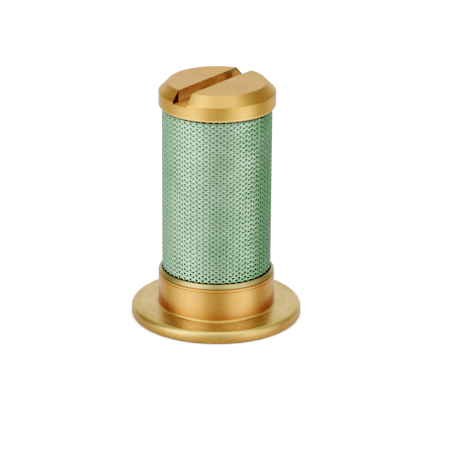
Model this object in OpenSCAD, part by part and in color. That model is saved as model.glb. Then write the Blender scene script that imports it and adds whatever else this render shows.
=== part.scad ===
// Nozzle strainer with a ball check valve: a flanged brass body, a ported centre tube,
// a woven wire screen and a slotted cap that screws into the tube and holds the screen.
// Millimetres. The origin is the centre of the flange's underside, and +Z runs to the cap.

/* [Flange] */
// Outside diameter of the flange
flange_d = 15.0; // [14.8:0.1:16.0]
// Thickness of the flange
flange_t = 1.1; // [1.0:0.05:1.3]
// Radius of the flange's upper edge
flange_top_edge_r = 0.45; // [0.2:0.05:0.7]
// Radius of the flange's lower edge
flange_low_edge_r = 0.25; // [0.1:0.05:0.3]

/* [Collar] */
// Outside diameter of the collar that holds the foot of the screen
collar_d = 10.24; // [10.2:0.02:10.3]
// Height of the collar's rim above the flange's underside
collar_top = 3.8; // [3.6:0.1:4.0]
// Height of the floor of the cup inside the collar
cup_floor = 2.2; // [1.9:0.1:2.3]
// Radius of the fillet where the collar meets the flange
collar_fillet_r = 0.2; // [0.1:0.05:0.3]

/* [Screen] */
// Outside diameter of the woven screen
screen_d = 9.64; // [9.58:0.01:9.66]
// Diameter of the screen's wire
wire_d = 0.17; // [0.12:0.01:0.18]
// Width of the soldered lap seam, measured round the screen
seam_w = 1.2; // [0.8:0.1:1.6]
// Direction of the seam, from +X towards +Y
seam_angle = 100; // [0:5:355]
// Height of the bevelled ring at the foot of the screen
foot_ring_h = 0.7; // [0.6:0.05:0.8]
// Height of the stiffening ring inside the head of the screen
head_ring_h = 0.5; // [0.3:0.1:0.5]

/* [Cap] */
// Outside diameter of the cap
cap_d = 10.2; // [10.1:0.02:10.3]
// Height of the cap's upper face above the flange's underside
total_h = 21.5; // [21.3:0.1:21.9]
// Height of the cap's lower edge above the flange's underside
cap_low = 19.35; // [19.2:0.05:19.4]
// Width and height of the cap's upper chamfer
cap_chamfer = 0.85; // [0.6:0.05:0.9]
// Width of the screwdriver slot
slot_w = 1.5; // [1.0:0.05:1.6]
// Depth of the screwdriver slot
slot_depth = 1.05; // [0.7:0.05:1.1]
// Direction of the slot, from +X towards +Y
slot_angle = 53; // [0:1:179]
// Distance of the slot's middle from the axis, as it was sawn
slot_offset = 0.25; // [0:0.05:0.3]

/* [Cap thread] */
// Major diameter of the cap's stud thread
thread_d = 5.0; // [4.5:0.1:5.2]
// Pitch of the thread, the rise of the cap in one turn
thread_pitch = 0.8; // [0.5:0.1:0.8]
// Length of the stud in the tube
stud_len = 4.0; // [3.6:0.1:4.2]

/* [Centre tube] */
// Outside diameter of the centre tube
tube_d = 7.0; // [6.8:0.1:7.2]
// Diameter of the flow bore above the valve seat
flow_d = 3.2; // [2.8:0.1:3.4]
// Diameter of the valve chamber below the seat
chamber_d = 5.0; // [4.9:0.1:5.2]
// Diameter of each cross-drilled inlet port
port_d = 2.2; // [1.6:0.1:2.4]
// Number of cross drillings, each through both walls
port_drillings = 1; // [1:1:2]
// Height of the ports above the flange's underside
port_z = 13.0; // [12.5:0.1:13.5]

/* [Check valve] */
// Diameter of the valve ball
ball_d = 4.0; // [3.8:0.1:4.2]
// Diameter of the hole through the seat ring
seat_hole_d = 2.8; // [2.6:0.1:3.0]
// Height of the seat ring's lower face above the flange's underside
seat_z = 9.5; // [9.3:0.1:9.6]
// Thickness of the seat ring
seat_t = 0.8; // [0.6:0.1:0.9]
// Travel of the ball off its seat
ball_lift = 1.0; // [0.6:0.1:1.2]
// Diameter of the spring's wire
spring_wire_d = 0.4; // [0.3:0.05:0.45]
// Mean diameter of the spring's coil
spring_mean_d = 3.0; // [2.8:0.1:3.2]
// Number of turns in the spring
spring_turns = 6.5; // [5:0.5:7]
// Diameter of the hole through the spring retainer
retainer_hole_d = 2.8; // [2.4:0.1:2.8]
// Thickness of the spring retainer
retainer_t = 0.8; // [0.6:0.1:1.0]

/* [Fits] */
// Radial running clearance of the turning and sliding parts
running_gap = 0.05; // [0.03:0.01:0.08]
// Gap between parts that rest on each other
rest_gap = 0.02; // [0.01:0.01:0.04]

/* [Hidden] */

$fn = 96;                    // facets of a full turn, where a shape is drawn
arc_steps = 8;               // straight steps in a quarter arc of a profile
eps = 0.01;                  // how far a cutting tool runs past a face
edge_break = 0.1;            // small chamfer on turned edges

flange_r = flange_d / 2;
collar_r = collar_d / 2;
screen_r = screen_d / 2;
cap_r = cap_d / 2;
tube_r = tube_d / 2;
chamber_r = chamber_d / 2;
flow_r = flow_d / 2;
ball_r = ball_d / 2;
seat_hole_r = seat_hole_d / 2;

cup_r = screen_r + running_gap;              // bore of the collar's cup
mesh_t = 2 * wire_d;                         // two wire layers, where wires cross
mesh_low = cup_floor + 0.1;                  // foot edge of the screen, clear of the cup's floor
recess_top = total_h - slot_depth - 0.45;    // ceiling of the cap's recess, under the slot
mesh_top = recess_top - rest_gap;            // head edge of the screen
seam_arc = seam_w / screen_r * 180 / PI;     // the seam's width as an angle
head_ring_t = 0.35;                          // wall of the head ring
foot_land_h = 0.2;                           // straight band at the foot ring's base
foot_groove_w = 0.16;                        // width of the V groove above that band
foot_groove_depth = 0.12;                    // depth of the V groove
foot_ring_lip = 0.05;                        // width of the foot ring's narrow upper edge
tube_low = 0.15;                             // the tube's foot, just inside the flange's underside
tube_top = recess_top - 0.1;                 // the tube's head, just under the cap's ceiling
stud_low = recess_top - stud_len;            // tip of the cap's stud
thread_floor = stud_low - 0.6;               // end of the tapped hole in the tube
thread_relief = 0.35;                        // chamfer at the stud's tip
retainer_low = tube_low + 0.2;               // lower face of the spring retainer
retainer_top = retainer_low + retainer_t;
ball_z = seat_z - sqrt(ball_r * ball_r - seat_hole_r * seat_hole_r) - rest_gap;
spring_wire_r = spring_wire_d / 2;
spring_mean_r = spring_mean_d / 2;
spring_low = retainer_top + spring_wire_r + rest_gap;
ball_on_coil = sqrt(pow(ball_r + spring_wire_r, 2) - spring_mean_r * spring_mean_r);
spring_high = ball_z - ball_on_coil - rest_gap;
spring_sides = 6;                            // sides of the spring wire's section
spring_steps = 18;                           // steps in one turn of the spring
spring_solid = spring_turns * spring_wire_d; // length of the spring with its coils closed

assert(spring_high - spring_low - ball_lift > spring_solid, "the spring closes before the ball's full lift");
assert(ball_r < chamber_r - running_gap, "the ball needs room in the chamber");

// Points of a quarter or other arc in a profile, from angle a0 to a1 about (x, z)
function arc_points(x, z, r, a0, a1) =
    [for (i = [0:arc_steps]) let (a = a0 + (a1 - a0) * i / arc_steps) [x + r * cos(a), z + r * sin(a)]];

// A ring of rectangular section
module ring(outer_r, inner_r, low, high) {
    rotate_extrude()
        translate([inner_r, low]) square([outer_r - inner_r, high - low]);
}

// Part of a tube wall, centred on the direction a0
module wall_segment(outer_r, wall, low, high, a0, sweep) {
    rotate([0, 0, a0 - sweep / 2])
        rotate_extrude(angle = sweep)
            translate([outer_r - wall, low]) square([wall, high - low]);
}

// Height of the spring wire's centre after t turns: the end turns are closed, and the rest rise evenly
function spring_height(t) =
    let (dead = 0.75, rise = min(max((t - dead) / (spring_turns - 2 * dead), 0), 1),
         closed = spring_wire_d * 1.05 * dead)
    spring_low + closed * (min(t, dead) + max(t - spring_turns + dead, 0)) / dead
        + (spring_high - spring_low - 2 * closed) * rise;

function spring_point(i, k) =
    let (t = i / spring_steps, turn = 360 * t, side = 360 * k / spring_sides,
         r = spring_mean_r + spring_wire_r * cos(side))
    [r * cos(turn), r * sin(turn), spring_height(t) + spring_wire_r * sin(side)];

module flange_body() {
    color([0.78, 0.57, 0.27])
        rotate_extrude()
            polygon(concat(
                [[tube_r, 0]],
                arc_points(flange_r - flange_low_edge_r, flange_low_edge_r, flange_low_edge_r, -90, 0),
                arc_points(flange_r - flange_top_edge_r, flange_t - flange_top_edge_r,
                           flange_top_edge_r, 0, 90),
                arc_points(collar_r + collar_fillet_r, flange_t + collar_fillet_r,
                           collar_fillet_r, -90, -180),
                [[collar_r, collar_top], [cup_r, collar_top], [cup_r, cup_floor], [tube_r, cup_floor]]));
}

module centre_tube() {
    color([0.75, 0.55, 0.28])
        difference() {
            rotate_extrude()
                polygon([[chamber_r, tube_low], [tube_r, tube_low],
                         [tube_r, tube_top - edge_break], [tube_r - edge_break, tube_top],
                         [thread_d / 2, tube_top], [thread_d / 2, thread_floor], [flow_r, thread_floor],
                         [flow_r, seat_z + seat_t], [chamber_r, seat_z + seat_t]]);
            for (i = [0:port_drillings - 1])
                rotate([0, 0, i * 180 / port_drillings])
                    translate([0, 0, port_z]) rotate([0, 90, 0])
                        cylinder(d = port_d, h = tube_d + 2 * eps, center = true, $fn = 48);
        }
}

module seat_ring() {
    color([0.92, 0.92, 0.89]) ring(chamber_r, seat_hole_r, seat_z, seat_z + seat_t);
}

module check_ball() {
    color([0.80, 0.81, 0.82]) translate([0, 0, ball_z]) sphere(r = ball_r, $fn = 64);
}

module ball_spring() {
    last = round(spring_turns * spring_steps);
    color([0.72, 0.73, 0.74])
        polyhedron(
            points = [for (i = [0:last], k = [0:spring_sides - 1]) spring_point(i, k)],
            faces = concat(
                [[for (k = [0:spring_sides - 1]) k]],
                [for (i = [0:last - 1], k = [0:spring_sides - 1])
                    let (next = (k + 1) % spring_sides, a = i * spring_sides, b = a + spring_sides)
                    [a + k, b + k, b + next, a + next]],
                [[for (k = [spring_sides - 1:-1:0]) last * spring_sides + k]]));
}

module spring_retainer() {
    color([0.78, 0.57, 0.27])
        rotate_extrude()
            polygon([[retainer_hole_d / 2 + edge_break, retainer_low], [chamber_r, retainer_low],
                     [chamber_r, retainer_top], [retainer_hole_d / 2, retainer_top],
                     [retainer_hole_d / 2, retainer_low + edge_break]]);
}

module screen_mesh() {
    color([0.60, 0.72, 0.62])
        wall_segment(screen_r, mesh_t, mesh_low, mesh_top, seam_angle + 180, 360 - seam_arc);
}

module screen_seam() {
    color([0.62, 0.66, 0.60])
        wall_segment(screen_r, mesh_t, mesh_low, mesh_top, seam_angle, seam_arc);
}

module foot_ring() {
    low = collar_top + rest_gap;
    high = collar_top + foot_ring_h;
    groove_low = low + foot_land_h;
    groove_high = groove_low + foot_groove_w;
    color([0.85, 0.68, 0.38])
        rotate_extrude()
            polygon([[screen_r, low], [collar_r, low], [collar_r, groove_low],
                     [collar_r - foot_groove_depth, (groove_low + groove_high) / 2],
                     [collar_r, groove_high], [screen_r + foot_ring_lip, high], [screen_r, high]]);
}

module head_ring() {
    outer = screen_r - mesh_t;
    color([0.85, 0.68, 0.38]) ring(outer, outer - head_ring_t, mesh_top - head_ring_h, mesh_top);
}

module slotted_cap() {
    recess_r = screen_r + running_gap;
    stud_r = thread_d / 2 - running_gap;
    color([0.84, 0.66, 0.37])
        difference() {
            rotate_extrude()
                polygon([[0, stud_low], [stud_r - thread_relief, stud_low],
                         [stud_r, stud_low + thread_relief], [stud_r, recess_top],
                         [recess_r, recess_top], [recess_r, cap_low], [cap_r - edge_break / 2, cap_low],
                         [cap_r, cap_low + edge_break / 2], [cap_r, total_h - cap_chamfer],
                         [cap_r - cap_chamfer, total_h], [0, total_h]]);
            rotate([0, 0, slot_angle])
                translate([-cap_d, slot_offset - slot_w / 2, total_h - slot_depth])
                    cube([2 * cap_d, slot_w, slot_depth + eps]);
        }
}

flange_body();
centre_tube();
seat_ring();
check_ball();
ball_spring();
spring_retainer();
screen_mesh();
screen_seam();
foot_ring();
head_ring();
slotted_cap();
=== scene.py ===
import math

import bmesh
import bpy
import numpy as np
from mathutils import Matrix, Vector

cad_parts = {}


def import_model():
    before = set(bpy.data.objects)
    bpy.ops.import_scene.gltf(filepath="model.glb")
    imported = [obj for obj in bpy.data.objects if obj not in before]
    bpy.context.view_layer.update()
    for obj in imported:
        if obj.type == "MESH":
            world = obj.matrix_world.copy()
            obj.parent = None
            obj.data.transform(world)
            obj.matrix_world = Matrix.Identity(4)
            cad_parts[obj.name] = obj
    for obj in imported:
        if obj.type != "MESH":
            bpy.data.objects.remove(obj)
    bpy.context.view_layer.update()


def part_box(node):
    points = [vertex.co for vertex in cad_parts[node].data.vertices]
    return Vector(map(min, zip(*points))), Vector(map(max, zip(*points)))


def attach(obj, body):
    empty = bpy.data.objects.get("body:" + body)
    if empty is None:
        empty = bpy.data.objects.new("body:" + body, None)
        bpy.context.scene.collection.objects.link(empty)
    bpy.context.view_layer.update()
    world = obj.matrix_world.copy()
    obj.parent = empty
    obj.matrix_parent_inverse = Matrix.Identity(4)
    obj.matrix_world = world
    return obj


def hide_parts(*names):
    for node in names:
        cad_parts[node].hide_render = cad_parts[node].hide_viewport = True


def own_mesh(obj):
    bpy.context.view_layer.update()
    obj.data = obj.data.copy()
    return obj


# The looks of a nozzle strainer with a ball check valve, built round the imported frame.
# Lengths are in metres, and MM turns millimetres into them.
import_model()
MM = 0.001

# ---- sizes read from the frame -----------------------------------------------------------------


def radius_of(node):
    """Outer radius of a round node."""
    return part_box(node)[1].x


def low_of(node):
    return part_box(node)[0].z


def high_of(node):
    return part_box(node)[1].z


FLANGE_R = radius_of("flange_body")
COLLAR_R = radius_of("foot_ring")
COLLAR_TOP = high_of("flange_body")
TUBE_R = radius_of("centre_tube")
CHAMBER_R = radius_of("seat_ring")
BALL_R = radius_of("check_ball")
CAP_R = radius_of("slotted_cap")
TOTAL_H = high_of("slotted_cap")
STUD_LOW = low_of("slotted_cap")
MESH_LOW = low_of("screen_mesh")
MESH_TOP = high_of("screen_mesh")
SCREEN_R = -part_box("screen_mesh")[0].y

# ---- sizes that the nodes' boxes don't give ----------------------------------------------------

FLANGE_T = 1.1 * MM
FLANGE_TOP_EDGE = 0.45 * MM
FLANGE_LOW_EDGE = 0.25 * MM
COLLAR_FILLET = 0.2 * MM
CUP_FLOOR = MESH_LOW - 0.1 * MM
WIRE_D = 0.17 * MM
WIRES = 50                    # wires of each family, counted round the screen
WIRE_RISE = 0.431 * MM        # height between crossings, straight above one another
SEAM_ANGLE = math.radians(100)
SEAM_W = 1.2 * MM
HEAD_RING_WALL = 0.35 * MM
CAP_LOW = 19.35 * MM
CAP_CHAMFER = 0.85 * MM
CAP_LIP = 0.18 * MM           # rounding of the cap's lower edge
RECESS_TOP = MESH_TOP + 0.02 * MM
RUN_GAP = 0.05 * MM
SLOT_W = 1.5 * MM
SLOT_DEPTH = 1.05 * MM
SLOT_ANGLE = math.radians(53)
SLOT_OFFSET = 0.25 * MM
FOOT_LAND = 0.2 * MM          # straight band at the foot ring's base
FOOT_GROOVE_W = 0.16 * MM
FOOT_GROOVE_DEPTH = 0.12 * MM
FOOT_LIP = 0.05 * MM
STUD_R = 2.45 * MM
STUD_CHAMFER = 0.35 * MM
STUD_NECK = 0.2 * MM          # plain length of the stud under the cap
PITCH = 0.8 * MM
TAP_PAST_STUD = 0.6 * MM      # how far the tapped hole goes on below the stud
TAP_MOUTH = 0.25 * MM         # plain length at the tapped hole's mouth
FLOW_R = 1.6 * MM
PORT_R = 1.1 * MM
PORT_Z = 13.0 * MM
SEAT_HOLE_R = 1.4 * MM
RETAINER_HOLE_R = 1.4 * MM
SPRING_WIRE_R = 0.2 * MM
SPRING_MEAN_R = 1.5 * MM
SPRING_TURNS = 6.5
CLOSED_TURNS = 0.75           # at each end of the spring

BREAK = 0.05 * MM             # rounding of a turned edge
FINE_BREAK = 0.025 * MM       # rounding of a thin part's edge
SMALL = 1e-9
MERGE = 1e-7                  # points nearer than this are one point
ON_WALL = 1e-6                # points this near to a wall's radius are on it
WIDE, MEDIUM, NARROW = 256, 192, 128    # faces round a wide, a medium and a narrow part

# ---- mesh building -----------------------------------------------------------------------------


def add_mesh(name, verts, faces):
    """A smooth mesh object from arrays of points and quads."""
    mesh = bpy.data.meshes.new(name)
    quads = np.asarray(faces, np.int32)
    mesh.vertices.add(len(verts))
    mesh.vertices.foreach_set("co", np.asarray(verts, np.float32).ravel())
    mesh.loops.add(quads.size)
    mesh.loops.foreach_set("vertex_index", quads.ravel())
    mesh.polygons.add(len(quads))
    mesh.polygons.foreach_set("loop_start", np.arange(len(quads), dtype=np.int32) * 4)
    mesh.update(calc_edges=True)
    mesh.validate()
    obj = bpy.data.objects.new(name, mesh)
    bpy.context.scene.collection.objects.link(obj)
    mesh.shade_smooth()
    return obj


def rounded(corners, steps=5):
    """Points of a closed outline whose corners (r, z, rounding) are replaced by arcs."""
    points = []
    count = len(corners)
    for i, (r, z, rounding) in enumerate(corners):
        here = Vector((r, z))
        if rounding <= 0:
            points.append(here)
            continue
        back = (Vector(corners[i - 1][:2]) - here).normalized()
        ahead = (Vector(corners[(i + 1) % count][:2]) - here).normalized()
        half = back.angle(ahead) / 2
        reach = rounding / math.tan(half)
        centre = here + (back + ahead).normalized() * rounding / math.sin(half)
        start = here + back * reach - centre
        end = here + ahead * reach - centre
        turn = start.angle_signed(end)
        for k in range(steps + 1):
            a = -turn * k / steps
            c, s = math.cos(a), math.sin(a)
            points.append(centre + Vector((start.x * c - start.y * s, start.x * s + start.y * c)))
    return points


def filled(points, longest):
    """The same outline with its sides cut into steps no longer than longest, except one on the axis."""
    out = []
    for here, there in zip(points, points[1:] + points[:1]):
        on_axis = here.x < SMALL and there.x < SMALL
        steps = 1 if on_axis else math.ceil((there - here).length / longest)
        out += [here.lerp(there, k / steps) for k in range(steps)]
    return out


def turned(name, points, segments=MEDIUM, shape=None):
    """A ring-shaped solid: the closed outline turned about Z. shape may move each point's radius."""
    r = np.array([p[0] for p in points])
    z = np.array([p[1] for p in points])
    angle = np.arange(segments) * 2 * math.pi / segments
    grid_r = np.repeat(r[None, :], segments, 0)
    grid_z = np.repeat(z[None, :], segments, 0)
    grid_a = np.repeat(angle[:, None], len(points), 1)
    if shape is not None:
        grid_r = shape(grid_r, grid_z, grid_a)
    verts = np.stack([grid_r * np.cos(grid_a), grid_r * np.sin(grid_a), grid_z], -1)
    count = len(points)
    i, j = np.meshgrid(np.arange(segments), np.arange(count), indexing="ij")
    i2, j2 = (i + 1) % segments, (j + 1) % count
    faces = np.stack([i * count + j, i2 * count + j, i2 * count + j2, i * count + j2], -1)
    obj = add_mesh(name, verts.reshape(-1, 3), faces.reshape(-1, 4))
    close_axis(obj)
    return obj


def close_axis(obj):
    """Merges the points that lie on the axis, drops what collapsed and turns all faces outwards."""
    bm = bmesh.new()
    bm.from_mesh(obj.data)
    bmesh.ops.remove_doubles(bm, verts=bm.verts, dist=MERGE)
    bmesh.ops.dissolve_degenerate(bm, edges=bm.edges, dist=MERGE / 10)
    bmesh.ops.recalc_face_normals(bm, faces=bm.faces)
    bm.to_mesh(obj.data)
    bm.free()
    obj.data.shade_smooth()


def tubes(name, paths, radius, sides):
    """Round wires along paths, arrays of points, each closed by a flat end."""
    verts, faces, start = [], [], 0
    around = np.arange(sides) * 2 * math.pi / sides
    for path in paths:
        count = len(path)
        along = np.gradient(path, axis=0)
        along /= np.linalg.norm(along, axis=1)[:, None]
        out = path * (1, 1, 0)
        out /= np.linalg.norm(out, axis=1)[:, None]
        side = np.cross(along, out)
        side /= np.linalg.norm(side, axis=1)[:, None]
        up = np.cross(side, along)
        offset = np.cos(around)[None, :, None] * up[:, None] + np.sin(around)[None, :, None] * side[:, None]
        verts.append((path[:, None] + radius * offset).reshape(-1, 3))
        i, j = np.meshgrid(np.arange(count - 1), np.arange(sides), indexing="ij")
        j2 = (j + 1) % sides
        ring = np.stack([i * sides + j, i * sides + j2, (i + 1) * sides + j2, (i + 1) * sides + j], -1)
        faces.append(ring.reshape(-1, 4) + start)
        for k in range(0, sides - 2, 2):
            faces.append(np.array([[0, k + 3, k + 2, k + 1]]) % sides + start)
            last = (count - 1) * sides
            faces.append(np.array([[0, k + 1, k + 2, (k + 3) % sides]]) + last + start)
        start += count * sides
    return add_mesh(name, np.concatenate(verts), np.concatenate(faces))


def cut(obj, cutter):
    """Takes the cutter's shape away from obj and deletes the cutter."""
    modifier = obj.modifiers.new("cut", "BOOLEAN")
    modifier.operation = "DIFFERENCE"
    modifier.solver = "EXACT"
    modifier.object = cutter
    apply_modifiers(obj)
    bpy.data.objects.remove(cutter)


def apply_modifiers(obj):
    bpy.context.view_layer.update()
    evaluated = obj.evaluated_get(bpy.context.evaluated_depsgraph_get())
    mesh = bpy.data.meshes.new_from_object(evaluated)
    obj.modifiers.clear()
    obj.data = mesh


def soften(obj, width, steps=2):
    """Rounds the sharp edges that cutting left."""
    bevel = obj.modifiers.new("edges", "BEVEL")
    bevel.width = width
    bevel.segments = steps
    bevel.limit_method = "ANGLE"
    bevel.angle_limit = math.radians(40)
    bevel.use_clamp_overlap = True
    apply_modifiers(obj)


def even_shading(obj):
    """Weighted normals: large faces stay flat beside their narrow roundings."""
    obj.data.shade_smooth()
    modifier = obj.modifiers.new("even", "WEIGHTED_NORMAL")
    modifier.keep_sharp = True
    modifier.weight = 80


def block(name, half, angle=0.0, centre=(0, 0, 0)):
    """A box used only as a cutter."""
    bm = bmesh.new()
    bmesh.ops.create_cube(bm, size=2)
    for v in bm.verts:
        x, y, z = v.co.x * half[0], v.co.y * half[1], v.co.z * half[2]
        c, s = math.cos(angle), math.sin(angle)
        v.co = (x * c - y * s + centre[0], x * s + y * c + centre[1], z + centre[2])
    mesh = bpy.data.meshes.new(name)
    bm.to_mesh(mesh)
    bm.free()
    obj = bpy.data.objects.new(name, mesh)
    bpy.context.scene.collection.objects.link(obj)
    return obj


def drill(name, radius, length, z):
    """A round bar along X, used only as a cutter."""
    bm = bmesh.new()
    bmesh.ops.create_cone(bm, cap_ends=True, segments=64, radius1=radius, radius2=radius, depth=length)
    mesh = bpy.data.meshes.new(name)
    bm.to_mesh(mesh)
    bm.free()
    obj = bpy.data.objects.new(name, mesh)
    bpy.context.scene.collection.objects.link(obj)
    obj.rotation_euler = (0, math.pi / 2, 0)
    obj.location = (0, 0, z)
    return obj


def place(obj, body, slot, *nodes):
    """Puts a finished piece on its body and hides the CAD nodes it stands for. Slot is not used."""
    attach(obj, body)
    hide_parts(*nodes)
    return obj


# ---- threads -----------------------------------------------------------------------------------

THREAD_DEPTH = 0.61 * PITCH
THREAD_STEP = PITCH / 12                # longest side of a face on a threaded wall
THREAD_FADE = 0.3 * MM                  # length over which a thread runs out
CREST_FLAT, ROOT_FLAT = 0.125, 0.25     # flats of the thread, as shares of its pitch
TAP_R = STUD_R + RUN_GAP
TAP_FLOOR = STUD_LOW - TAP_PAST_STUD


def thread_form(z, angle):
    """0 on a right-hand thread's crest, 1 at its root, with straight flanks between."""
    phase = (z / PITCH - angle / (2 * math.pi)) % 1.0
    from_crest = np.abs(phase - 0.5) * 2
    return np.clip((from_crest - CREST_FLAT) / (1 - CREST_FLAT - ROOT_FLAT), 0, 1)


def run_out(z, low, high):
    """1 between low and high, falling to 0 near each of them."""
    return np.clip((z - low) / THREAD_FADE, 0, 1) * np.clip((high - z) / THREAD_FADE, 0, 1)


def stud_thread(r, z, angle):
    """Cuts the thread into the stud's wall and its chamfer."""
    on_stud = r < STUD_R + ON_WALL
    groove = THREAD_DEPTH * thread_form(z, angle)
    groove *= run_out(z, STUD_LOW - THREAD_FADE, RECESS_TOP - STUD_NECK)
    return np.where(on_stud, np.minimum(r, STUD_R - groove), r)


def tapped_thread(r, z, angle):
    """Raises the thread's teeth on the tapped hole's wall, with a gap to the stud's thread."""
    on_wall = np.abs(r - TAP_R) < ON_WALL
    tooth = np.maximum(thread_form(z, angle) * THREAD_DEPTH - RUN_GAP, 0)
    tooth = np.minimum(tooth, THREAD_DEPTH - 2 * RUN_GAP)
    tooth *= run_out(z, TAP_FLOOR + RUN_GAP, RECESS_TOP - TAP_MOUTH)
    return np.where(on_wall, r - tooth, r)


# ---- the parts ---------------------------------------------------------------------------------


def flange_body():
    cup_r = SCREEN_R + RUN_GAP
    outline = rounded([
        (TUBE_R, 0, BREAK),
        (FLANGE_R, 0, FLANGE_LOW_EDGE),
        (FLANGE_R, FLANGE_T, FLANGE_TOP_EDGE),
        (COLLAR_R, FLANGE_T, COLLAR_FILLET),
        (COLLAR_R, COLLAR_TOP, FINE_BREAK),
        (cup_r, COLLAR_TOP, FINE_BREAK),
        (cup_r, CUP_FLOOR, BREAK),
        (TUBE_R, CUP_FLOOR, BREAK),
    ], steps=8)
    obj = turned("turned_flange_body", outline, WIDE)
    even_shading(obj)
    return place(obj, "body", "brass_body", "flange_body")


def foot_ring():
    low, high = low_of("foot_ring"), high_of("foot_ring")
    groove_low = low + FOOT_LAND
    outline = rounded([
        (SCREEN_R, low, 0),
        (COLLAR_R, low, FINE_BREAK),
        (COLLAR_R, groove_low, FINE_BREAK / 2),
        (COLLAR_R - FOOT_GROOVE_DEPTH, groove_low + FOOT_GROOVE_W / 2, FINE_BREAK / 2),
        (COLLAR_R, groove_low + FOOT_GROOVE_W, FINE_BREAK),
        (SCREEN_R + FOOT_LIP, high, FINE_BREAK / 2),
        (SCREEN_R, high, 0),
    ], steps=4)
    obj = turned("bevelled_foot_ring", outline, WIDE)
    even_shading(obj)
    return place(obj, "screen", "brass_body", "foot_ring")


def head_ring():
    low, high = low_of("head_ring"), high_of("head_ring")
    outer = radius_of("head_ring")
    inner = outer - HEAD_RING_WALL
    outline = rounded([
        (inner, low, BREAK),
        (outer, low, BREAK),
        (outer, high, BREAK),
        (inner, high, BREAK),
    ])
    obj = turned("head_ring_turned", outline)
    even_shading(obj)
    return place(obj, "screen", "brass_inner", "head_ring")


def slotted_cap():
    recess_r = SCREEN_R + RUN_GAP
    outline = rounded([
        (0, STUD_LOW, 0),
        (STUD_R - STUD_CHAMFER, STUD_LOW, BREAK),
        (STUD_R, STUD_LOW + STUD_CHAMFER, 0),
        (STUD_R, RECESS_TOP, 0),
        (recess_r, RECESS_TOP, BREAK),
        (recess_r, CAP_LOW, FINE_BREAK),
        (CAP_R, CAP_LOW, CAP_LIP),
        (CAP_R, TOTAL_H - CAP_CHAMFER, FINE_BREAK),
        (CAP_R - CAP_CHAMFER, TOTAL_H, FINE_BREAK),
        (0, TOTAL_H, 0),
    ])
    obj = turned("slotted_screw_cap", filled(outline, THREAD_STEP), MEDIUM, stud_thread)
    across = SLOT_OFFSET * Vector((-math.sin(SLOT_ANGLE), math.cos(SLOT_ANGLE), 0))
    middle = across + Vector((0, 0, TOTAL_H))
    cut(obj, block("slot", (2 * CAP_R, SLOT_W / 2, SLOT_DEPTH), SLOT_ANGLE, middle))
    soften(obj, FINE_BREAK)
    even_shading(obj)
    return place(obj, "cap", "brass_cap", "slotted_cap")


def centre_tube():
    low, high = low_of("centre_tube"), high_of("centre_tube")
    seat_top = high_of("seat_ring")
    outline = rounded([
        (CHAMBER_R, low, BREAK),
        (TUBE_R, low, BREAK),
        (TUBE_R, high, 2 * BREAK),
        (TAP_R, high, BREAK),
        (TAP_R, TAP_FLOOR, 0),
        (FLOW_R, TAP_FLOOR, BREAK),
        (FLOW_R, seat_top, BREAK),
        (CHAMBER_R, seat_top, 0),
    ])
    obj = turned("ported_centre_tube", filled(outline, THREAD_STEP), NARROW, tapped_thread)
    cut(obj, drill("port", PORT_R, 3 * TUBE_R, PORT_Z))
    soften(obj, FINE_BREAK)
    even_shading(obj)
    return place(obj, "body", "brass_inner", "centre_tube")


def seat_ring():
    low, high = low_of("seat_ring"), high_of("seat_ring")
    outline = rounded([
        (SEAT_HOLE_R, low, FINE_BREAK),
        (CHAMBER_R, low, BREAK),
        (CHAMBER_R, high, BREAK),
        (SEAT_HOLE_R, high, 2 * BREAK),
    ])
    obj = turned("valve_seat_ring", outline, NARROW)
    even_shading(obj)
    return place(obj, "body", "seat_polymer", "seat_ring")


def spring_retainer():
    low, high = low_of("spring_retainer"), high_of("spring_retainer")
    outline = rounded([
        (RETAINER_HOLE_R, low, 2 * BREAK),
        (CHAMBER_R, low, BREAK),
        (CHAMBER_R, high, BREAK),
        (RETAINER_HOLE_R, high, BREAK),
    ])
    obj = turned("spring_retainer_ring", outline, NARROW)
    even_shading(obj)
    return place(obj, "body", "brass_inner", "spring_retainer")


def check_ball():
    """A ball from a cube of quads pushed out to the sphere, so that no pole shows."""
    bm = bmesh.new()
    bmesh.ops.create_cube(bm, size=2)
    bmesh.ops.subdivide_edges(bm, edges=bm.edges, cuts=23, use_grid_fill=True)
    centre = (low_of("check_ball") + high_of("check_ball")) / 2
    for v in bm.verts:
        v.co = v.co.normalized() * BALL_R + Vector((0, 0, centre))
    mesh = bpy.data.meshes.new("valve_ball")
    bm.to_mesh(mesh)
    bm.free()
    obj = bpy.data.objects.new("valve_ball", mesh)
    bpy.context.scene.collection.objects.link(obj)
    mesh.shade_smooth()
    return place(obj, "ball", "ball_steel", "check_ball")


def ball_spring():
    """The coil, closed at each end. Its wires nearly touch there."""
    low = low_of("ball_spring") + SPRING_WIRE_R
    high = high_of("ball_spring") - SPRING_WIRE_R
    steps = int(SPRING_TURNS * 48)
    turn = np.arange(steps + 1) * SPRING_TURNS / steps
    closed = 2 * SPRING_WIRE_R * 1.05 * CLOSED_TURNS
    rise = np.clip((turn - CLOSED_TURNS) / (SPRING_TURNS - 2 * CLOSED_TURNS), 0, 1)
    ends = np.minimum(turn, CLOSED_TURNS) + np.maximum(turn - SPRING_TURNS + CLOSED_TURNS, 0)
    z = low + closed * ends / CLOSED_TURNS + (high - low - 2 * closed) * rise
    angle = turn * 2 * math.pi
    path = np.stack([SPRING_MEAN_R * np.cos(angle), SPRING_MEAN_R * np.sin(angle), z], 1)
    obj = tubes("valve_spring", [path], SPRING_WIRE_R, 16)
    place(obj, "body", "spring_wire", "ball_spring")
    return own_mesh(obj)


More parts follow.
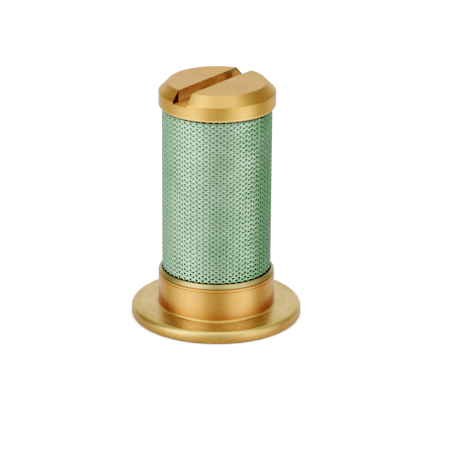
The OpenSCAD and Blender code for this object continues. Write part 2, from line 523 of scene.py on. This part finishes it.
def screen_wires(name, hand):
    """One family of the woven cloth's wires. Each wire climbs round the screen and passes over and
    under the other family's wires in turn."""
    step = WIRE_RISE / 8
    z = np.linspace(MESH_LOW, MESH_TOP - WIRE_D / 2, int((MESH_TOP - MESH_LOW) / step) + 1)
    paths = []
    for k in range(WIRES):
        along = k + hand * z / WIRE_RISE
        angle = along * 2 * math.pi / WIRES
        other = along + hand * z / WIRE_RISE
        wave = np.cos(math.pi * (other + k))
        r = SCREEN_R - WIRE_D + hand * wave * WIRE_D / 2
        paths.append(np.stack([r * np.cos(angle), r * np.sin(angle), z], 1))
    obj = tubes(name, paths, WIRE_D / 2, 6)
    return place(obj, "screen", "mesh_wire", "screen_mesh")


def screen_seam():
    """The soldered lap: a low crowned strip that fills the weave, with wandering edges."""
    across, along = 14, 180
    z = np.linspace(MESH_LOW, MESH_TOP, along + 1)
    share = np.linspace(-1, 1, across + 1)
    zz, ss = np.meshgrid(z, share, indexing="ij")
    wander = 0.08 * np.sin(zz / (0.9 * MM)) + 0.05 * np.sin(zz / (0.37 * MM) + 1.3)
    angle = SEAM_ANGLE + (ss * (1 + wander * np.abs(ss))) * SEAM_W / 2 / SCREEN_R
    ripple = 0.12 * np.sin(zz / (0.21 * MM) + 3 * ss) * np.cos(zz / (0.55 * MM))
    outer = SCREEN_R - WIRE_D * (0.18 + 0.75 * np.abs(ss) ** 4 - ripple * (1 - ss**2))
    inner = np.full_like(outer, SCREEN_R - 2 * WIRE_D)
    verts = [np.stack([r * np.cos(angle), r * np.sin(angle), zz], -1).reshape(-1, 3)
             for r in (outer, inner)]
    row, size = across + 1, (along + 1) * (across + 1)
    faces = []
    for i in range(along):
        for j in range(across):
            a, b = i * row + j, (i + 1) * row + j
            faces.append((a, a + 1, b + 1, b))
            faces.append((size + a, size + b, size + b + 1, size + a + 1))
        for j, flip in ((0, False), (across, True)):
            a, b = i * row + j, (i + 1) * row + j
            quad = (a, b, size + b, size + a)
            faces.append(quad[::-1] if flip else quad)
    for j in range(across):
        for i, flip in ((0, True), (along, False)):
            a = i * row + j
            quad = (a, a + 1, size + a + 1, size + a)
            faces.append(quad if flip else quad[::-1])
    obj = add_mesh("soldered_seam", np.concatenate(verts), faces)
    close_axis(obj)
    return place(obj, "screen", "seam_solder", "screen_seam")


# ---- materials ---------------------------------------------------------------------------------

# What metal mirrors, as brightness by azimuth in degrees: 0 is the camera's side, +90 is to its right.
# STUDIO_WALLS is seen in level and rising directions, and STUDIO_TABLE in falling ones.
STUDIO_WALLS = (
    (-180, 0.36), (-150, 0.30), (-135, 0.17), (-120, 0.13), (-100, 0.13), (-86, 0.25), (-74, 0.62),
    (-60, 1.00), (-42, 0.95), (-25, 0.55), (-8, 0.26), (10, 0.25), (28, 0.42), (48, 0.55), (68, 0.50),
    (84, 0.30), (96, 0.16), (120, 0.12), (138, 0.17), (155, 0.30), (180, 0.36),
)
STUDIO_TABLE = (
    (-180, 0.30), (-150, 0.32), (-128, 0.29), (-108, 0.27), (-92, 0.36), (-77, 0.54), (-52, 0.76),
    (-34, 0.58), (-16, 0.28), (2, 0.20), (16, 0.24), (32, 0.52), (54, 0.80), (66, 0.66), (76, 0.44),
    (88, 0.24), (105, 0.21), (125, 0.31), (150, 0.31), (180, 0.30),
)
CEILING = 0.72
CEILING_FROM, CEILING_TO = 60, 80       # elevations between which the walls give way to the ceiling
TABLE_BELOW = 0.85                      # brightness of the table straight under a part
BELOW_FROM, BELOW_TO = -28, -50         # elevations between which that brightness takes over
CONTACT_FROM, CONTACT_TO = 7.4, 11.0    # distances in mm over which the flange's contact shade ends
CONTACT_SHADE = 0.21                    # brightness of that shade
TONE_LOW, TONE_HIGH = 0.34, 0.62        # noise values at which brass is deep and at which it is light
TINT_CONTRAST = 0.1                     # how much more a colour tinted by the painted reflection varies
TINT_LEFT = 0.15                        # share of the painted reflection's tint that is left past its end
BRASS_SMOOTHER, BRASS_ROUGHER = 0.08, 0.12      # how far brass strays from its mean roughness
BRUSHED = 0.75                          # how strongly the feed marks smear a reflection
FEED_MARK = 0.01 * MM                   # depth of the feed marks
GRAIN = 0.005 * MM                      # depth of the grain of steel
CORNER_SHADE = (0.20, 0.08, 0.02)            # colour of the painted shade in the brass's inner corners
CORNER_SHADE_REACH = 0.18 * MM
CORNER_SHADE_SKY = (0.30, 0.85)              # shares of open sky between which the painted shade ends
UNDERSIDE = (0.12, 0.06)                # heights in mm between which the painted shade gives way to the unshaded underside
BOUNCE_REACH = 2.0 * MM                   # how near a wall must be to keep the painted bounce light on inner brass
BOUNCE_SKY = (0.52, 0.70)                 # shares of open sky between which the painted bounce light ends
BOUNCE_HEIGHT = (5.0, 4.4)                # heights in mm between which it ends in the cup
SLOT_SHADE = (0.10, 0.04, 0.015)        # colour of the painted shade at the slot's near end and the painted dark reflection short of its far end
SLOT_DARK_BRIM = (0.34, 0.22, 0.12)       # colour of the slot's brim near its far end
SLOT_ROUGH = 0.3                        # roughness that the saw adds to the slot's floor
WIRE_LIGHT_LEAN = 0.05                        # painted light: how much the wires' tone rises in a millimetre towards -X, the side the light comes from
WIRE_FLAT = 0.75                        # how far the wires' crowns are rolled flat
PAINTED_WIRE_SHADE = (0.08, 0.07, 0.04)            # colour of the painted shade on the wires under the cap and at the foot ring


class Nodes:
    """A node tree, with short ways to add and join nodes."""

    def __init__(self, tree):
        self.tree = tree

    def add(self, kind, **values):
        node = self.tree.nodes.new(kind)
        for key, value in values.items():
            if hasattr(node, key):
                setattr(node, key, value)
            else:
                node.inputs[key.replace("_", " ")].default_value = value
        return node

    def join(self, source, target):
        self.tree.links.new(source, target)

    def math(self, operation, a, b=None):
        node = self.tree.nodes.new("ShaderNodeMath")
        node.operation = operation
        for socket, value in zip(node.inputs, (a, b)):
            if value is None:
                continue
            if isinstance(value, (int, float)):
                socket.default_value = value
            else:
                self.join(value, socket)
        return node.outputs[0]

    def product(self, *factors):
        """The product of two or more values."""
        result = factors[0]
        for factor in factors[1:]:
            result = self.math("MULTIPLY", result, factor)
        return result

    def split(self, vector):
        node = self.add("ShaderNodeSeparateXYZ")
        self.join(vector, node.inputs[0])
        return node.outputs

    def place_in_part(self):
        """The place on the part in millimetres, as a vector, its distance from the axis and its height."""
        coordinates = self.add("ShaderNodeTexCoord")
        scale = self.add("ShaderNodeVectorMath", operation="SCALE")
        scale.inputs["Scale"].default_value = 1 / MM
        self.join(coordinates.outputs["Object"], scale.inputs[0])
        x, y, z = self.split(scale.outputs[0])
        r = self.math("SQRT", self.math("ADD", self.math("MULTIPLY", x, x), self.math("MULTIPLY", y, y)))
        return scale.outputs[0], r, z

    def noise(self, vector, scale, detail=3.0, rough=0.55):
        node = self.add("ShaderNodeTexNoise")
        node.inputs["Scale"].default_value = scale
        node.inputs["Detail"].default_value = detail
        node.inputs["Roughness"].default_value = rough
        self.join(vector, node.inputs["Vector"])
        return node.outputs["Fac"]

    def ramp(self, value, *stops):
        node = self.add("ShaderNodeValToRGB")
        elements = node.color_ramp.elements
        while len(elements) < len(stops):
            elements.new(0.5)
        for element, (position, colour) in zip(elements, stops):
            element.position = position
            element.color = (*colour, 1)
        self.join(value, node.inputs["Fac"])
        return node.outputs["Color"]

    def span(self, value, low, high):
        node = self.add("ShaderNodeMapRange")
        node.inputs["To Min"].default_value = low
        node.inputs["To Max"].default_value = high
        self.join(value, node.inputs["Value"])
        return node.outputs["Result"]

    def mix(self, share, a, b):
        """Colour a where share is 0 and colour b where it is 1. Each is a socket or a fixed colour."""
        node = self.add("ShaderNodeMix", data_type="RGBA")
        for socket, value in ((node.inputs[0], share), (node.inputs[6], a), (node.inputs[7], b)):
            if isinstance(value, (int, float, tuple)):
                socket.default_value = value
            else:
                self.join(value, socket)
        return node.outputs[2]

    def step(self, value, low, high):
        """A smooth step from 0 at low to 1 at high."""
        node = self.add("ShaderNodeMapRange", interpolation_type="SMOOTHSTEP")
        node.inputs["From Min"].default_value = low
        node.inputs["From Max"].default_value = high
        self.join(value, node.inputs["Value"])
        return node.outputs["Result"]

    def studio(self, direction, by_azimuth, straight, start, end):
        """What a mirror sees in a direction: by_azimuth near level, and the brightness straight beyond
        the elevations from start to end."""
        x, y, z = self.split(direction)
        turn = self.math("ARCTAN2", x, self.math("MULTIPLY", y, -1.0))
        share = self.math("ADD", self.math("DIVIDE", turn, 2 * math.pi), 0.5)
        level = self.ramp(share, *[((a + 180) / 360, (b, b, b)) for a, b in by_azimuth])
        steep = self.step(z, math.sin(math.radians(start)), math.sin(math.radians(end)))
        return self.mix(steep, level, (straight, straight, straight, 1))

    def flattened(self, position, share):
        """The surface's normal, turned towards straight out from the axis where it faces outwards."""
        level = self.add("ShaderNodeVectorMath", operation="MULTIPLY")
        level.inputs[1].default_value = (1, 1, 0)
        self.join(position, level.inputs[0])
        outward = self.add("ShaderNodeVectorMath", operation="NORMALIZE")
        self.join(level.outputs[0], outward.inputs[0])
        normal = self.add("ShaderNodeNewGeometry").outputs["Normal"]
        facing = self.add("ShaderNodeVectorMath", operation="DOT_PRODUCT")
        self.join(normal, facing.inputs[0])
        self.join(outward.outputs[0], facing.inputs[1])
        weight = self.math("MULTIPLY", self.step(facing.outputs["Value"], 0.0, 0.5), share)
        turned_out = self.mix(weight, normal, outward.outputs[0])
        unit = self.add("ShaderNodeVectorMath", operation="NORMALIZE")
        self.join(turned_out, unit.inputs[0])
        return unit.outputs[0]


class Material(Nodes):
    """The node tree of a new material, with its principled shader."""

    def __init__(self, name):
        self.material = bpy.data.materials.new(name)
        self.material.use_nodes = True
        super().__init__(self.material.node_tree)
        self.shader = self.tree.nodes["Principled BSDF"]

    def bump(self, height, strength, distance, normal=None):
        node = self.add("ShaderNodeBump")
        if normal is not None:
            self.join(normal, node.inputs["Normal"])
        node.inputs["Strength"].default_value = strength
        node.inputs["Distance"].default_value = distance
        self.join(height, node.inputs["Height"])
        self.join(node.outputs["Normal"], self.shader.inputs["Normal"])


def scaled(colour, reflected_tint, gain):
    """A colour times another and times a number."""
    return tuple(gain * c * k for c, k in zip(colour, reflected_tint))


def rings(nodes, r, z, pitch):
    """Turning marks: a value that changes along the profile and hardly round the axis."""
    profile = nodes.add("ShaderNodeCombineXYZ")
    nodes.join(r, profile.inputs[0])
    nodes.join(z, profile.inputs[2])
    return nodes.noise(profile.outputs[0], 1 / pitch, 2.0, 0.7)


def slot_marks(nodes, position, r, z):
    """Where the sawn slot has a rough floor, painted shade on its walls and a darker brim, in millimetres.
    The painted shade lies at the slot's near end, and a painted dark reflection in a patch short of its far
    end;
    the brim is dark towards the far end."""
    top, depth = TOTAL_H / MM, SLOT_DEPTH / MM
    bottom = top - depth
    cap_r = CAP_R / MM
    flat_r = cap_r - CAP_CHAMFER / MM
    facing_up = nodes.split(nodes.add("ShaderNodeNewGeometry").outputs["Normal"])[2]
    floor = nodes.product(nodes.step(facing_up, 0.85, 0.95),
                          nodes.step(z, top - depth * 0.5, top - depth * 0.8))
    wall = nodes.product(nodes.step(nodes.math("ABSOLUTE", facing_up), 0.4, 0.2),
                         nodes.step(r, cap_r - 0.03, cap_r - 0.07),
                         nodes.step(z, bottom - 0.02, bottom + 0.02))
    x, y, _ = nodes.split(position)
    along = nodes.math("ADD", nodes.product(x, math.cos(SLOT_ANGLE)), nodes.product(y, math.sin(SLOT_ANGLE)))
    # Painted shade at the slot's near end, under the chamfer, and a painted dark reflection in a patch short
    # of the far end.
    near_end = nodes.product(nodes.step(r, flat_r - 0.05, flat_r + 0.1), nodes.step(along, 0.5, -0.5))
    patch = nodes.product(nodes.step(along, 2.0, 3.0), nodes.step(along, 3.8, 3.2), 0.6)
    down_chamfer = nodes.math("MAXIMUM", nodes.math("SUBTRACT", r, flat_r), 0.0)
    # The brim darkens towards the slot's far end.
    brim = nodes.product(nodes.step(nodes.math("ADD", z, down_chamfer), top - 0.34, top - 0.14),
                         nodes.step(along, 1.2, 3.2))
    slot_shade = nodes.math("MAXIMUM", near_end, patch)
    return floor, nodes.product(slot_shade, wall), nodes.product(brim, wall)


def brass(name, deep, light, rough, second, reflected_tint, tint_from, tint_to, tint_end=-MM, slot=False,
          sheen=(1, 1, 1)):
    """Turned brass: rings of feed marks, a patchy tone, painted shade in the inner corners and a reflection
    that the marks smear across themselves. Between the tint's two heights the colour turns to its product
    with the tint, a painted reflection, and most of the tint is gone again at its end height. Second is the
    colour of brass that is itself seen in brass, and sheen is the colour of its reflection at a grazing
    angle. With slot, the sawn slot is rough, with painted shade and a painted dark reflection on its walls
    and a darker brim."""
    nodes = Material(name)
    position, r, z = nodes.place_in_part()
    fine = rings(nodes, r, z, 0.06)
    wide = rings(nodes, r, z, 0.45)
    patch = nodes.noise(position, 0.45, 4.0)
    tone = nodes.math("ADD", nodes.product(wide, 0.4), nodes.product(patch, 0.6))
    plain = nodes.ramp(tone, (TONE_LOW, deep), (TONE_HIGH, light))
    # Painted reflection: between two heights the colour takes a paler, greener tint.
    tinted = nodes.ramp(tone, (TONE_LOW, scaled(deep, reflected_tint, 1 - TINT_CONTRAST)),
                        (TONE_HIGH, scaled(light, reflected_tint, 1 + TINT_CONTRAST)))
    left = nodes.span(nodes.step(z, tint_end / MM, tint_to / MM), TINT_LEFT, 1.0)
    share = nodes.product(nodes.step(z, tint_from / MM, tint_to / MM), left)
    colour = nodes.mix(share, plain, tinted)
    # Painted shade: ambient occlusion darkens the base colour in the brass's inner corners.
    corner = nodes.add("ShaderNodeAmbientOcclusion", samples=8)
    corner.inputs["Distance"].default_value = CORNER_SHADE_REACH
    unshaded = nodes.math("MAXIMUM", nodes.step(corner.outputs["AO"], *CORNER_SHADE_SKY), nodes.step(z, *UNDERSIDE))
    colour = nodes.mix(unshaded, (*CORNER_SHADE, 1), colour)
    uneven = nodes.math("ADD", nodes.product(fine, 0.6), nodes.product(patch, 0.4))
    roughness = nodes.span(uneven, rough - BRASS_SMOOTHER, rough + BRASS_ROUGHER)
    if slot:
        floor, slot_shade, dark_brim = slot_marks(nodes, position, r, z)
        roughness = nodes.math("ADD", roughness, nodes.product(floor, SLOT_ROUGH))
        colour = nodes.mix(slot_shade, colour, (*SLOT_SHADE, 1))
        colour = nodes.mix(dark_brim, colour, (*SLOT_DARK_BRIM, 1))
    path = nodes.add("ShaderNodeLightPath")
    colour = nodes.mix(path.outputs["Is Glossy Ray"], colour, (*second, 1))
    nodes.join(colour, nodes.shader.inputs["Base Color"])
    nodes.join(roughness, nodes.shader.inputs["Roughness"])
    nodes.shader.inputs["Metallic"].default_value = 1.0
    nodes.shader.inputs["Specular Tint"].default_value = (*sheen, 1)
    nodes.shader.inputs["Anisotropic"].default_value = BRUSHED
    nodes.shader.inputs["Anisotropic Rotation"].default_value = 0.25
    tangent = nodes.add("ShaderNodeTangent", direction_type="RADIAL", axis="Z")
    nodes.join(tangent.outputs[0], nodes.shader.inputs["Tangent"])
    nodes.bump(fine, 0.35, FEED_MARK)
    return nodes.material


def dull_brass(name, deep, light, bounce_colour, rough):
    """Inner brass: plain metal in the open, and painted bounce light, a greener and less metallic tone,
    where the screen or a bore closes round it."""
    nodes = Material(name)
    position, r, z = nodes.place_in_part()
    marks = rings(nodes, r, z, 0.3)
    patch = nodes.noise(position, 0.6, 4.0)
    tone = nodes.math("ADD", nodes.math("MULTIPLY", marks, 0.5), nodes.math("MULTIPLY", patch, 0.5))
    # Painted bounce light: where ambient occlusion finds the brass enclosed, it takes the greener, less
    # metallic tone.
    openness = nodes.add("ShaderNodeAmbientOcclusion", samples=16)
    openness.inputs["Distance"].default_value = BOUNCE_REACH
    clear = nodes.math("MAXIMUM", nodes.step(openness.outputs["AO"], *BOUNCE_SKY),
                       nodes.step(z, *BOUNCE_HEIGHT))
    bare = nodes.ramp(tone, (0.30, deep), (0.68, light))
    bounce_lit = nodes.ramp(tone, (0.30, tuple(0.8 * c for c in bounce_colour)), (0.68, bounce_colour))
    nodes.join(nodes.mix(clear, bounce_lit, bare), nodes.shader.inputs["Base Color"])
    nodes.join(nodes.math("ADD", nodes.math("MULTIPLY", clear, 0.4), 0.6), nodes.shader.inputs["Metallic"])
    nodes.join(nodes.span(tone, rough - BRASS_SMOOTHER, rough + BRASS_ROUGHER),
               nodes.shader.inputs["Roughness"])
    nodes.bump(marks, 0.3, FEED_MARK)
    return nodes.material


def wire_metal(name, dark, light, rough):
    """Drawn wire with a pale green tone that drifts slowly over the screen and is painted lighter towards
    -X, the side the light comes from, and with painted shade where the cloth enters the cap and the foot
    ring."""
    nodes = Material(name)
    position, _, z = nodes.place_in_part()
    # Painted light: the wires' tone rises towards -X, the side the light comes from.
    across = nodes.math("MULTIPLY", nodes.split(position)[0], -WIRE_LIGHT_LEAN)
    drift = nodes.math("ADD", nodes.noise(position, 0.35, 3.0), across)
    # Painted shade: the wires darken just under the cap and where they enter the foot ring.
    head, foot = CAP_LOW / MM, high_of("foot_ring") / MM
    at_foot = nodes.product(nodes.step(z, foot + 0.16, foot + 0.04), nodes.step(z, foot - 0.3, foot - 0.1))
    edge_shade = nodes.math("ADD", nodes.step(z, head - 0.34, head - 0.16), at_foot)
    colour = nodes.mix(edge_shade, nodes.ramp(drift, (0.3, dark), (0.7, light)), (*PAINTED_WIRE_SHADE, 1))
    nodes.join(colour, nodes.shader.inputs["Base Color"])
    grain = nodes.noise(position, 18.0, 3.0)
    nodes.join(nodes.span(grain, rough - 0.06, rough + 0.1), nodes.shader.inputs["Roughness"])
    nodes.shader.inputs["Metallic"].default_value = 1.0
    nodes.bump(grain, 0.1, GRAIN, nodes.flattened(position, WIRE_FLAT))
    return nodes.material


def steel(name, colour, rough, grain_scale):
    nodes = Material(name)
    position, _, _ = nodes.place_in_part()
    grain = nodes.noise(position, grain_scale, 4.0)
    dim = tuple(0.8 * c for c in colour)
    nodes.join(nodes.ramp(grain, (0.3, dim), (0.7, colour)), nodes.shader.inputs["Base Color"])
    nodes.join(nodes.span(grain, rough * 0.7, rough * 1.4), nodes.shader.inputs["Roughness"])
    nodes.shader.inputs["Metallic"].default_value = 1.0
    nodes.bump(grain, 0.1, GRAIN)
    return nodes.material


def polymer(name):
    nodes = Material(name)
    position, r, z = nodes.place_in_part()
    marks = rings(nodes, r, z, 0.08)
    nodes.join(nodes.ramp(marks, (0.3, (0.72, 0.72, 0.68)), (0.7, (0.84, 0.84, 0.80))),
               nodes.shader.inputs["Base Color"])
    nodes.join(nodes.span(marks, 0.38, 0.55), nodes.shader.inputs["Roughness"])
    nodes.shader.inputs["Subsurface Weight"].default_value = 0.15
    nodes.shader.inputs["Subsurface Scale"].default_value = 0.3 * MM
    nodes.bump(marks, 0.2, FEED_MARK)
    return nodes.material


def floor_paint(name):
    """Matt white paint. In the metal's reflections the floor shows the studio instead, and from below
    it is clear."""
    nodes = Material(name)
    position, r, _ = nodes.place_in_part()
    grain = nodes.noise(position, 0.6, 2.0)
    nodes.join(nodes.ramp(grain, (0.3, (0.90, 0.90, 0.895)), (0.7, (0.92, 0.92, 0.915))),
               nodes.shader.inputs["Base Color"])
    nodes.shader.inputs["Roughness"].default_value = 0.9
    geometry = nodes.add("ShaderNodeNewGeometry")
    onward = nodes.add("ShaderNodeVectorMath", operation="SCALE")
    onward.inputs["Scale"].default_value = -1.0
    nodes.join(geometry.outputs["Incoming"], onward.inputs[0])
    table = nodes.studio(onward.outputs[0], STUDIO_TABLE, TABLE_BELOW, BELOW_FROM, BELOW_TO)
    open_share = nodes.step(r, CONTACT_FROM, CONTACT_TO)
    glow = nodes.add("ShaderNodeEmission")
    nodes.join(nodes.mix(open_share, (CONTACT_SHADE, CONTACT_SHADE, CONTACT_SHADE, 1), table),
               glow.inputs["Color"])
    path = nodes.add("ShaderNodeLightPath")
    either = nodes.add("ShaderNodeMixShader")
    nodes.join(path.outputs["Is Glossy Ray"], either.inputs[0])
    nodes.join(nodes.shader.outputs[0], either.inputs[1])
    nodes.join(glow.outputs[0], either.inputs[2])
    one_sided = nodes.add("ShaderNodeMixShader")
    nodes.join(geometry.outputs["Backfacing"], one_sided.inputs[0])
    nodes.join(either.outputs[0], one_sided.inputs[1])
    nodes.join(nodes.add("ShaderNodeBsdfTransparent").outputs[0], one_sided.inputs[2])
    nodes.join(one_sided.outputs[0], nodes.tree.nodes["Material Output"].inputs["Surface"])
    return nodes.material


# ---- the object --------------------------------------------------------------------------------

# The tint each brass takes between two heights is a painted reflection: a paler, greener tone on the cap's
# lip, the flange's top edge and rim, and the foot ring's bevel.
BRASS_CAP = brass("brass_cap", (0.78, 0.37, 0.105), (0.88, 0.44, 0.145), 0.26, second=(0.65, 0.54, 0.58),
                  reflected_tint=(0.97, 1.06, 1.35), tint_from=CAP_LOW + 0.27 * MM, tint_to=CAP_LOW + 0.17 * MM,
                  slot=True, sheen=(1.0, 0.98, 0.90))
BRASS_BODY = brass("brass_body", (0.76, 0.33, 0.10), (0.88, 0.41, 0.14), 0.24, second=(0.53, 0.31, 0.24),
                   reflected_tint=(0.97, 1.38, 1.48), tint_from=FLANGE_T + 0.15 * MM, tint_to=FLANGE_T - 0.02 * MM,
                   tint_end=FLANGE_T - 0.7 * MM)
BRASS_RING = brass("brass_ring", (0.76, 0.35, 0.11), (0.86, 0.42, 0.15), 0.26, second=(0.53, 0.31, 0.24),
                   reflected_tint=(0.69, 1.14, 1.42), tint_from=COLLAR_TOP + 0.28 * MM,
                   tint_to=COLLAR_TOP + 0.34 * MM)
# The third colour of inner brass is painted bounce light, where the screen or a bore closes round it.
BRASS_INNER = dull_brass("brass_inner", (0.50, 0.33, 0.13), (0.62, 0.43, 0.18), (0.44, 0.52, 0.40), 0.36)
MESH_WIRE = wire_metal("mesh_wire", (0.29, 0.485, 0.285), (0.495, 0.745, 0.505), 0.26)
SEAM_SOLDER = steel("seam_solder", (0.50, 0.56, 0.48), 0.4, 9.0)
BALL_STEEL = steel("ball_steel", (0.75, 0.76, 0.78), 0.12, 2.0)
SPRING_STEEL = steel("spring_steel", (0.58, 0.58, 0.60), 0.26, 14.0)
SEAT_POLYMER = polymer("seat_polymer")

for piece, material in (
    (flange_body(), BRASS_BODY),
    (foot_ring(), BRASS_RING),
    (head_ring(), BRASS_INNER),
    (slotted_cap(), BRASS_CAP),
    (centre_tube(), BRASS_INNER),
    (seat_ring(), SEAT_POLYMER),
    (spring_retainer(), BRASS_INNER),
    (check_ball(), BALL_STEEL),
    (ball_spring(), SPRING_STEEL),
    (screen_wires("screen_wires_right_hand", 1), MESH_WIRE),
    (screen_wires("screen_wires_left_hand", -1), MESH_WIRE),
    (screen_seam(), SEAM_SOLDER),
):
    piece.data.materials.clear()
    piece.data.materials.append(material)

# ---- floor, light and camera -------------------------------------------------------------------

FLOOR_HALF = 400 * MM
AIM = Vector((0, 0, 11 * MM))
CAMERA_UP = math.radians(20.3)          # elevation of the camera
CAMERA_AWAY = 230 * MM
LENS, SENSOR = 209.6, 36.0
PITCH_DOWN, YAW_RIGHT, ROLL = math.radians(0.67), math.radians(0.220), math.radians(0.39)
WORLD = 1.0                             # brightness of the light from everywhere
TONES = ((0.0146, 0.007), (0.027, 0.032), (0.056, 0.127), (0.154, 0.386), (0.354, 0.658), (0.65, 0.86))


def floor():
    verts = [(-FLOOR_HALF, -FLOOR_HALF, 0), (FLOOR_HALF, -FLOOR_HALF, 0),
             (FLOOR_HALF, FLOOR_HALF, 0), (-FLOOR_HALF, FLOOR_HALF, 0)]
    obj = add_mesh("floor", verts, [(0, 1, 2, 3)])
    obj.data.materials.append(floor_paint("floor_paint"))


def panel(name, azimuth, elevation, distance, width, height, power):
    """A soft rectangular light that faces the object. Azimuth 0 is the camera's side."""
    light = bpy.data.lights.new(name, "AREA")
    light.shape = "RECTANGLE"
    light.size, light.size_y = width, height
    light.energy = power
    obj = bpy.data.objects.new(name, light)
    obj.visible_glossy = False
    bpy.context.scene.collection.objects.link(obj)
    a, e = math.radians(azimuth), math.radians(elevation)
    towards = Vector((math.sin(a) * math.cos(e), -math.cos(a) * math.cos(e), math.sin(e)))
    obj.location = AIM + distance * towards
    obj.rotation_euler = (AIM - obj.location).to_track_quat("-Z", "Y").to_euler()


def camera():
    """The viewing angle, distance and lens of a close product shot, aimed a little off the middle."""
    data = bpy.data.cameras.new("camera")
    data.sensor_width = SENSOR
    data.lens = LENS
    data.clip_start = 0.01
    obj = bpy.data.objects.new("camera", data)
    bpy.context.scene.collection.objects.link(obj)
    obj.location = AIM + CAMERA_AWAY * Vector((0, -math.cos(CAMERA_UP), math.sin(CAMERA_UP)))
    aimed = (Matrix.Rotation(-YAW_RIGHT, 3, "Z")
             @ Matrix.Rotation(math.pi / 2 - CAMERA_UP - PITCH_DOWN, 3, "X")
             @ Matrix.Rotation(ROLL, 3, "Z"))
    obj.rotation_euler = aimed.to_euler()
    bpy.context.scene.camera = obj


def world():
    """Even white light on everything matt, and the studio in the metal's reflections."""
    data = bpy.data.worlds.new("studio")
    bpy.context.scene.world = data
    data.use_nodes = True
    nodes = Nodes(data.node_tree)
    background = data.node_tree.nodes["Background"]
    coordinates = nodes.add("ShaderNodeTexCoord")
    path = nodes.add("ShaderNodeLightPath")
    seen = nodes.studio(coordinates.outputs["Generated"], STUDIO_WALLS, CEILING,
                        CEILING_FROM, CEILING_TO)
    nodes.join(nodes.mix(path.outputs["Is Glossy Ray"], (WORLD, WORLD, WORLD, 1), seen),
               background.inputs["Color"])


def tone_curve():
    """A photographic curve, from scene light to the picture, with deep darks and soft highlights."""
    settings = bpy.context.scene.view_settings
    settings.view_transform = "Standard"
    settings.use_curve_mapping = True
    mapping = settings.curve_mapping
    curve = mapping.curves[3]
    for light, shown in TONES:
        curve.points.new(light, shown)
    for point in curve.points:
        point.handle_type = "AUTO_CLAMPED"
    mapping.update()


floor()
panel("top_panel", azimuth=10, elevation=80, distance=220 * MM, width=150 * MM, height=150 * MM, power=0.30)
world()
camera()
tone_curve()
